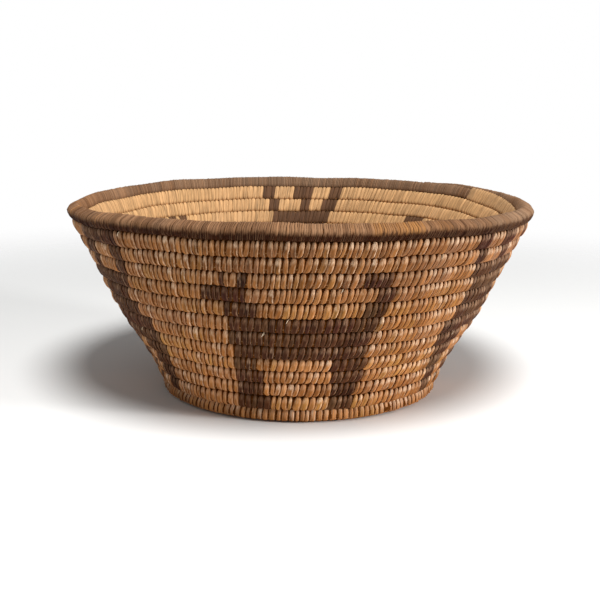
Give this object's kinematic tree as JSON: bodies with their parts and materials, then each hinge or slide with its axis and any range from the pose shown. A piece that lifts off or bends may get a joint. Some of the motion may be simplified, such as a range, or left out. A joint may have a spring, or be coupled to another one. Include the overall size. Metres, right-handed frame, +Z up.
{
  "type": "coiled figural basket",
  "caption": "Round coiled basket bowl with a flaring wall, a dark overcast rim, and dark sewn figures of four-legged animals and people on a tan ground.",
  "frame": {"origin": "under the middle of the basket, on the surface that its foot rests on", "axes": "+Z up along the bowl's axis; -Y is the front, with one animal in its middle; +X is to the right seen from the front"},
  "size_m": [0.2417, 0.2422, 0.1021],
  "materials": {
    "pale_splint": "peeled and split tan plant splint over a grass bundle, satin, uneven golden to orange-brown",
    "dark_splint": "brown-black plant splint, satin, worn lighter on the high spots"
  },
  "bodies": {
    "root": {"start_knot": "dark_splint", "base_coil": "pale_splint", "wall_coil": "pale_splint", "rim_bundle": "pale_splint", "rim_overcast": "dark_splint", "animal_front": "dark_splint", "animal_back_right": "dark_splint", "animal_back_left": "dark_splint", "person_right": "dark_splint", "person_back": "dark_splint", "person_left": "dark_splint"}
  },
  "joints": []
}
